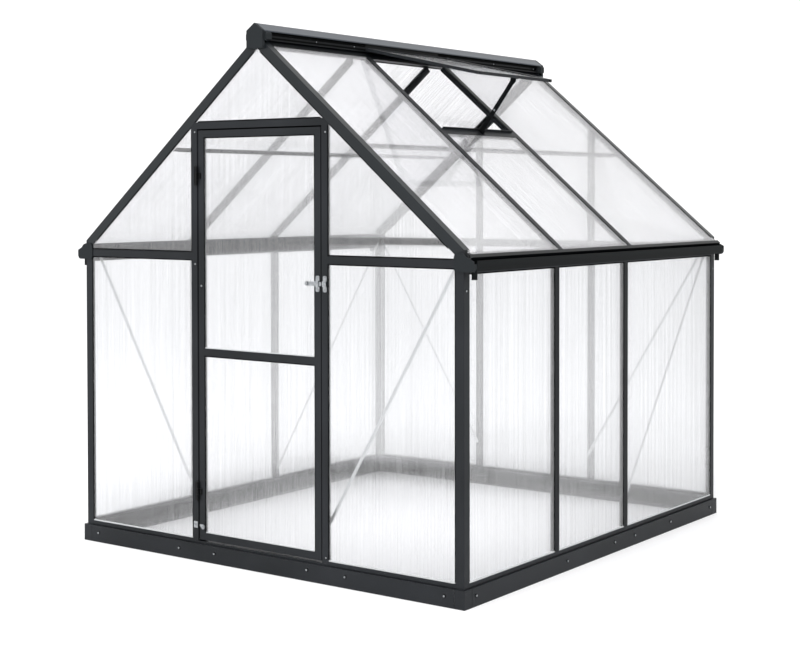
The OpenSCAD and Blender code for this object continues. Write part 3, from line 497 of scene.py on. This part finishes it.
# Each bolt's place along its side and its height. The holes are drilled by eye.
bolt_x = [(-0.842, 0.037), (-0.396, 0.036), (-0.213, 0.037)]
bolt_x += [(0.240, 0.041), (0.415, 0.040), (0.842, 0.037)]
bolt_y = [(-0.860, 0.037), (-0.286, 0.036), (0.056, 0.040)]
bolt_y += [(0.212, 0.037), (0.506, 0.038), (0.861, 0.035)]
base_places = []
for x, z in bolt_x:
    base_places += [((x, -base_y, z), front), ((-x, base_y, z), rear)]
for y, z in bolt_y:
    base_places += [((base_x, y, z), right), ((-base_x, -y, z), left)]
fasteners("base_bolt_washers", "frame", washer(0.0058), base_places, rubber_and_shade)
fasteners("base_bolts", "frame", hex_bolt(BOLT), base_places)

# %% [markdown]
# Pan-head screws hold the door posts to the rails that meet them and the corner posts
# to the eaves. Their shanks are inside the bars, so only the bright heads are made.
# Each sits on a black washer, which shows as a thin dark ring.

# %% Screws on the wall frame
EAVE_SCREW = (0.015, 1.048)  # metres in from the gable's face, and up
post_screws = [(-0.313, 1.596), (0.323, 1.583), (-0.314, 1.106), (0.321, 0.092)]
frame_places = [((x, -wall_y, z), front) for x, z in post_screws]
for side in (-1, 1):
    for end in (-1, 1):
        out = right if side > 0 else left
        y = end * (wall_y - EAVE_SCREW[0])
        frame_places.append(((side * wall_x, y, EAVE_SCREW[1]), out))
washers = washer(0.0050)
fasteners("frame_screw_washers", "frame", washers, frame_places, rubber_and_shade)
fasteners("frame_screws", "frame", pan_screw(SCREW), frame_places)

# %% [markdown]
# The latch is screwed on with four short screws, one near each end of its two
# straps, and the little wind catch at the door's foot with one in each half. Their
# places come from the boxes of those parts, so they follow them. One more screw sits
# on the leaf's hinge stile. The ones on the leaf ride on the door.

# %% Latch and catch screws
STRAP_FOOT = 0.0016  # metres, the thickness of a strap's foot
keeper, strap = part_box("latch_keeper"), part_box("latch_strap")


def ends_of(box):
    """A place near each end of an upright strap, on the face of its foot."""
    x, y = (box[0][0] + box[1][0]) / 2, box[1][1] - STRAP_FOOT
    return [((x, y, z), front) for z in (box[0][2] + 0.0075, box[1][2] - 0.0075)]


fasteners("keeper_screws", "frame", pan_screw(SCREW), ends_of(keeper))
fasteners("strap_screws", "door", pan_screw(SCREW), ends_of(strap))
plate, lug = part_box("catch_plate"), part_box("catch_lug")
spot = ((plate[0][0] + plate[1][0]) / 2, plate[0][1], (plate[0][2] + plate[1][2]) / 2)
fasteners("catch_plate_screw", "frame", pan_screw(0.0042), [(spot, front)])
spot = (lug[1][0] - 0.009, lug[0][1], lug[0][2] + 0.009)
fasteners("catch_lug_screw", "door", pan_screw(0.0050), [(spot, front)])
leaf_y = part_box("door_stiles")[0][1]
hinge_stile = solids("door_stiles")[0]
stile_x = (hinge_stile[0].x + hinge_stile[1].x) / 2
fasteners("leaf_screw", "door", pan_screw(SCREW), [((stile_x, leaf_y, 1.026), front)])

# %% [markdown]
# Glazing seals. Each sheet is held in its slot by a soft black bead pressed in beside
# the bar. A bead is a low oval section carried along a line: a small circle is
# flattened and extruded from one end to the other, and its back half sinks into the
# sheet. A bevelled curve would give the same shape, but short meshes are simpler to
# join into one piece. The bead lies in the step between the bar's face and the sheet,
# which is in shade. Its black is painted shade, and it draws the thin black line that
# outlines every bar.

# %% Seals beside the upright bars, as painted shade
BEAD = 0.0045  # metres, the width of a seal
END_GAP = 0.001  # metres, how far a bead stops short of its bar's end


def bead(bm, start, end, out, width=BEAD, height=0.0014):
    """A low bead from start to end, whose rounded back stands height towards out."""
    start, end, up = Vector(start), Vector(end), Vector(out).normalized()
    along = (end - start).normalized()
    turn = Matrix((along.cross(up), up, along)).transposed().to_4x4()
    part = bmesh.new()
    made = bmesh.ops.create_circle(part, cap_ends=True, segments=8, radius=1)
    bmesh.ops.scale(part, verts=made["verts"], vec=(width / 2, height, 1))
    bmesh.ops.transform(part, matrix=Matrix.Translation(start) @ turn, verts=part.verts)
    grown = bmesh.ops.extrude_face_region(part, geom=part.faces[:], use_keep_orig=True)
    far = [g for g in grown["geom"] if isinstance(g, bmesh.types.BMVert)]
    bmesh.ops.translate(part, verts=far, vec=end - start)
    mesh = bpy.data.meshes.new("part")
    part.to_mesh(mesh)
    part.free()
    bm.from_mesh(mesh)
    bpy.data.meshes.remove(mesh)


def beside(bm, low, high, axis, out, level, sides=(-1, 1)):
    """Beads along the long edges of a bar's face. axis runs across the bar."""
    up = [1 if value else 0 for value in out].index(1)
    run = 3 - axis - up
    for side in sides:
        start = Vector((0, 0, 0))
        start[axis] = (high if side > 0 else low)[axis] + side * BEAD / 2
        start[up] = level
        end = start.copy()
        start[run], end[run] = low[run] + END_GAP, high[run] - END_GAP
        bead(bm, start, end, out)


RECESS = 0.0018  # metres, how far a sheet's face lies behind its bars' faces
sheet_y = wall_y - RECESS
sheet_x = wall_x - RECESS


def gable(low):
    """Which gable a bar belongs to: its outward direction and its sheet's face."""
    side = -1 if low.y < 0 else 1
    return (0, side, 0), side * sheet_y


def flank(low):
    """Which side wall a bar belongs to: its outward direction and its sheet's face."""
    side = -1 if low.x < 0 else 1
    return (side, 0, 0), side * sheet_x


bm = bmesh.new()
for name in ("door_posts", "corner_posts", "rear_mullions"):
    for low, high in solids(name):
        inner = (-1 if low.x > 0 else 1,) if name == "corner_posts" else (-1, 1)
        inner = (-1 if low.x < 0 else 1,) if name == "door_posts" else inner
        beside(bm, low, high, 0, *gable(low), sides=inner)
for name in ("corner_posts", "side_mullions"):
    for low, high in solids(name):
        inner = (-1 if low.y > 0 else 1,) if name == "corner_posts" else (-1, 1)
        beside(bm, low, high, 1, *flank(low), sides=inner)
# These black beads are painted shade for the shaded step beside each upright bar.
piece(bm, "upright_seals_painted_shade", "frame", rubber_and_shade)

# %% [markdown]
# The same bead runs along the eave rails, under the eave beams and over the door's
# header. Only the direction changes, so the same helper draws it with another axis.

# %% Seals along the level bars, as painted shade
bm = bmesh.new()
for name in ("front_eave_rails", "rear_eave_rails"):
    for low, high in solids(name):
        beside(bm, low, high, 2, *gable(low))
for low, high in solids("eave_beams"):
    beside(bm, low, high, 2, *flank(low), sides=(-1,))
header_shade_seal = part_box("door_header")[1].z + BEAD / 2
bead(bm, (-0.30, -sheet_y, header_shade_seal), (0.30, -sheet_y, header_shade_seal), front)
# Painted shade again: black beads in the shaded steps along the level bars.
piece(bm, "level_seals_painted_shade", "frame", rubber_and_shade)

# %% [markdown]
# At the foot of every wall sheet, the pale closing strip shows above the sill. It
# could be a band of colour in the sheet's material, but as a piece of its own it has a
# real edge. It is the bead again, in the pale plastic.

# %% Closing strips on the sills
STRIP = 0.006  # metres, how much of the strip shows
bm = bmesh.new()
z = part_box("side_sills")[1].z + STRIP / 2
for low, high in solids("front_sills") + solids("rear_sill"):
    out, y = gable(low)
    bead(bm, (low.x + END_GAP, y, z), (high.x - END_GAP, y, z), out, STRIP)
for low, high in solids("side_sills"):
    out, x = flank(low)
    bead(bm, (x, low.y + END_GAP, z), (x, high.y - END_GAP, z), out, STRIP)
piece(bm, "closing_strips", "frame", closing)

# %% [markdown]
# The door leaf has its own beads and strips round its two panes. They look like the
# wall's, but they are pieces of their own that ride on the door, so they swing with it.

# %% Seals on the door leaf, whose black is painted shade
bm = bmesh.new()
stile_in = solids("door_stiles")[1][0].x
pane_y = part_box("door_panes")[0][1]
rails = sorted(solids("door_rails"), key=lambda b: b[0].z)
for lower, upper in zip(rails, rails[1:]):
    foot, top = lower[1].z, upper[0].z
    for x in (-stile_in + BEAD / 2, stile_in - BEAD / 2):
        bead(bm, (x, pane_y, foot), (x, pane_y, top), front)
    bead(bm, (-stile_in, pane_y, top - BEAD / 2), (stile_in, pane_y, top - BEAD / 2), front)
# Black beads as painted shade in the shaded steps round the door's panes.
piece(bm, "door_seals_painted_shade", "door", rubber_and_shade)
PANE_STRIP = 0.004  # metres, narrower than the wall's strips
bm = bmesh.new()
for rail in rails[:2]:
    z = rail[1].z + PANE_STRIP / 2
    bead(bm, (-stile_in + BEAD, pane_y, z), (stile_in - BEAD, pane_y, z), front, PANE_STRIP)
piece(bm, "door_closing_strips", "door", closing)

# %% [markdown]
# The closed leaf shuts against a rubber strip in the gap round it. The gap lies in
# shade, and the strip's black is painted shade that makes that gap a black line. The
# strip stays on the frame, on the latch post and under the header, where the leaf's edge
# slides away from it. On the hinge side the leaf's edge turns into the gap, so there is none.

# %% Seal that the leaf shuts against, as painted shade
JAMB_SHADE_SEAL = 0.010  # metres, its width
JAMB_FOOT = 0.085  # metres, the height where it starts
LEAF_GAP = 0.0055  # metres, from the leaf's top to the header
bm = bmesh.new()
jamb_x, jamb_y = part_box("door_threshold")[1].x, leaf_y + 0.010
leaf_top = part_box("door_stiles")[1].z
header_foot = leaf_top + LEAF_GAP
# The black strip is painted shade for the shaded gap round the leaf.
start, end = (jamb_x, jamb_y, JAMB_FOOT), (jamb_x, jamb_y, leaf_top)
bead(bm, start, end, left, JAMB_SHADE_SEAL, 0.004)
start, end = (-0.296, jamb_y, header_foot), (jamb_x - 0.005, jamb_y, header_foot)
bead(bm, start, end, (0, 0, -1), JAMB_SHADE_SEAL, 0.0035)
piece(bm, "jamb_seals_painted_shade", "frame", rubber_and_shade)

# %% [markdown]
# The roof's seals run down the slopes beside the roof bars and the rafters, and one more
# runs under each rafter on the gable's face. As on the walls, their black is painted
# shade for the shaded steps beside the bars. They could be made level and then turned,
# but a slope is easier to think of as a plane of its own. So one function gives any
# point of it from the distance down the roof, and a bead is drawn between two such
# points. In the vent's bay the seals start below the opening.

# %% Seals down the roof slopes, as painted shade
# The roof plane runs down from the rafters' apex at the construction model's pitch
rafter_low = solids("rafters")[-1][0]
apex_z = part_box("rafters")[1][2]
pitch = math.radians(39.5)
RAFTER_WIDTH = 0.036  # metres, its face down the gable
SEAL_RUN = (0.05, 1.135)  # metres down the slope, from end to end of a rafter's seal
VENT_SPAN = (-0.341, 0.153)  # metres, the vent's bay along Y


def on_slope(side, y, down, lift=0.0):
    """A point of the roof: side +1 right or -1 left, y, distance down, height over it."""
    x = down * math.cos(pitch) + lift * math.sin(pitch)
    return Vector((side * x, y, apex_z - down * math.sin(pitch) + lift * math.cos(pitch)))


bm = bmesh.new()
for side in (-1, 1):
    for end in (-1, 1):
        y = end * sheet_y
        lift = -RAFTER_WIDTH - BEAD / 2
        start, stop = (on_slope(side, y, down, lift) for down in SEAL_RUN)
        bead(bm, start, stop, (0, end, 0))
# Black beads as painted shade in the shaded step under each rafter.
piece(bm, "rafter_seals_painted_shade", "frame", rubber_and_shade)
bm = bmesh.new()
slope_start, slope_end = 0.066, 0.915 / math.cos(pitch)
vent_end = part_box("vent_crossbar")[1][0] / math.cos(pitch) + 0.004
rafter_y = rafter_low.y
for side in (-1, 1):
    out = (side * math.sin(pitch), 0, math.cos(pitch))
    lines = []
    for low, high in solids("roof_bars"):
        if low.x * side > 0:
            for y in (low.y - BEAD / 2, high.y + BEAD / 2):
                over_vent = side > 0 and VENT_SPAN[0] < y < VENT_SPAN[1]
                lines.append((y, vent_end if over_vent else slope_start))
    for y in (-rafter_y + BEAD / 2, rafter_y - BEAD / 2):
        lines.append((y, slope_start))
    for y, start in lines:
        bead(bm, on_slope(side, y, start, -RECESS), on_slope(side, y, slope_end, -RECESS), out)
# Black beads as painted shade in the shaded steps beside the roof bars and rafters.
piece(bm, "roof_seals_painted_shade", "frame", rubber_and_shade)

# %% [markdown]
# The ridge. A black rubber profile lines the channel below the ridge cover's edge on
# each side. The channel lies in shade, and the lining's black is painted shade for it,
# so that the channel reads as a deep dark line. Its real section has lips that are too
# small to show, so it is two beads, only wider than the others, and they stop at the
# vent's hinge. Small screws sit in the channel between them.

# %% Ridge channel lining as painted shade, and screws
beam_low, beam_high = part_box("ridge_beam")
box_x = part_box("vent_frame")[0][0] - 0.0003
cover_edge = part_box("ridge_cover")[0][2]
hinge = [b for b in solids("vent_frame") if b[0].x < 0.03][0]
bm = bmesh.new()
front_end, rear_end = beam_low.y + 0.006, beam_high.y - 0.006
stretches = [(-1, front_end, rear_end)]
stretches += [(1, front_end, hinge[0].y - 0.004), (1, hinge[1].y + 0.004, rear_end)]
for side, start, end in stretches:
    x = side * box_x
    for drop, width, height in ((0.0055, 0.011, 0.003), (0.0225, 0.009, 0.002)):
        z = cover_edge - drop
        bead(bm, (x, start, z), (x, end, z), (side, 0, 0), width, height)
# The black lining is painted shade for the shaded ridge channel.
piece(bm, "ridge_lining_painted_shade", "frame", rubber_and_shade)
ridge_places = []
for side in (-1, 1):
    for y in (-0.868, -0.62, -0.40, 0.21, 0.55, 0.868):
        ridge_places.append(((side * box_x, y, cover_edge - 0.0145), (side, 0, 0)))
fasteners("ridge_screws", "frame", pan_screw(0.0030), ridge_places)

# %% [markdown]
# The vent's stay is held together by a screw with a nut behind it. The nut could be a
# shape of its own, but so small a one is drawn as a second head. The screws of the
# hinge leaves sit under small black plastic caps, so they take the moulded black.

# %% Stay screw and hinge screws
HINGE_LEAF = 0.0016  # metres, its thickness
stay_low, stay_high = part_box("vent_stay")
at = stay_low.lerp(stay_high, 0.42)
spots = [((at.x, stay_low.y, at.z), front), ((at.x, stay_high.y, at.z), rear)]
fasteners("stay_screw", "frame", pan_screw(0.0040), spots)
spots = []
for low, high in solids("hinges_post"):
    x, y = low.x + 0.0055, -wall_y - HINGE_LEAF
    spots += [((x, y, z), front) for z in (low.z + 0.010, high.z - 0.010)]
fasteners("hinge_screws", "frame", pan_screw(0.0030), spots, moulded)

# %% [markdown]
# The stage: a pale floor, a pale sky that lights everything from all round, and two
# soft lamps that give the bars a light and a dark side. A small lamp inside lifts the
# floor of the room. Lamps alone would give hard bright spots on the clear sheets, so
# the sky does most of the work and the lamps stay out of sight.

# %% Floor, sky and lamps
bpy.ops.mesh.primitive_plane_add(size=60)
floor = bpy.context.object
floor.name = "floor"
floor_mat, shader = material("pale_floor", **{"Base Color": linear("f9f9fa"), "Roughness": 0.9})
floor.data.materials.append(floor_mat)

world = bpy.data.worlds.new("sky")
bpy.context.scene.world = world
world.use_nodes = True
sky = world.node_tree.nodes["Background"]
sky.inputs["Color"].default_value = (1, 1, 1, 1)
sky.inputs["Strength"].default_value = 1.17


def lamp(name, place, target, size, watts):
    """A round soft lamp at place, turned towards target."""
    data = bpy.data.lights.new(name, "AREA")
    data.shape, data.size, data.energy = "DISK", size, watts
    obj = bpy.data.objects.new(name, data)
    bpy.context.scene.collection.objects.link(obj)
    obj.location = place
    obj.rotation_euler = (Vector(target) - Vector(place)).to_track_quat("-Z", "Y").to_euler()
    return obj


lamps = [
    lamp("key", (2.5, -4.5, 7), (0, 0, 0.8), 3.5, 300),
    lamp("fill", (-6, -5, 4), (0, 0, 0.8), 4.0, 120),
    lamp("room_glow", (0, 0, 1.4), (0, 0, 0), 0.7, 10),
]
for obj in lamps:
    obj.visible_camera = obj.visible_transmission = obj.visible_glossy = False
print("lamps", [obj.name for obj in lamps])

# %% [markdown]
# The camera stands about six metres away at eye height, to the right of the door. Its
# long lens keeps the far bars nearly as large as the near ones. A shift slides the
# picture without turning the camera, so the uprights stay upright.

# %% Camera
camera_data = bpy.data.cameras.new("camera")
camera = bpy.data.objects.new("camera", camera_data)
bpy.context.scene.collection.objects.link(camera)
bpy.context.scene.camera = camera
camera.location = (3.8170, -4.9520, 1.3679)
yaw, pitch = math.radians(33.915), math.radians(-1.24)
look = Vector((-math.sin(yaw) * math.cos(pitch), math.cos(yaw) * math.cos(pitch), math.sin(pitch)))
camera.rotation_euler = look.to_track_quat("-Z", "Y").to_euler()
camera_data.lens = 68.421
camera_data.shift_x = -0.1392
camera_data.shift_y = -0.1243
camera_data.clip_end = 200
bpy.context.scene.view_settings.view_transform = "Standard"
print("camera at", [round(v, 2) for v in camera.location], "lens", round(camera_data.lens, 1))
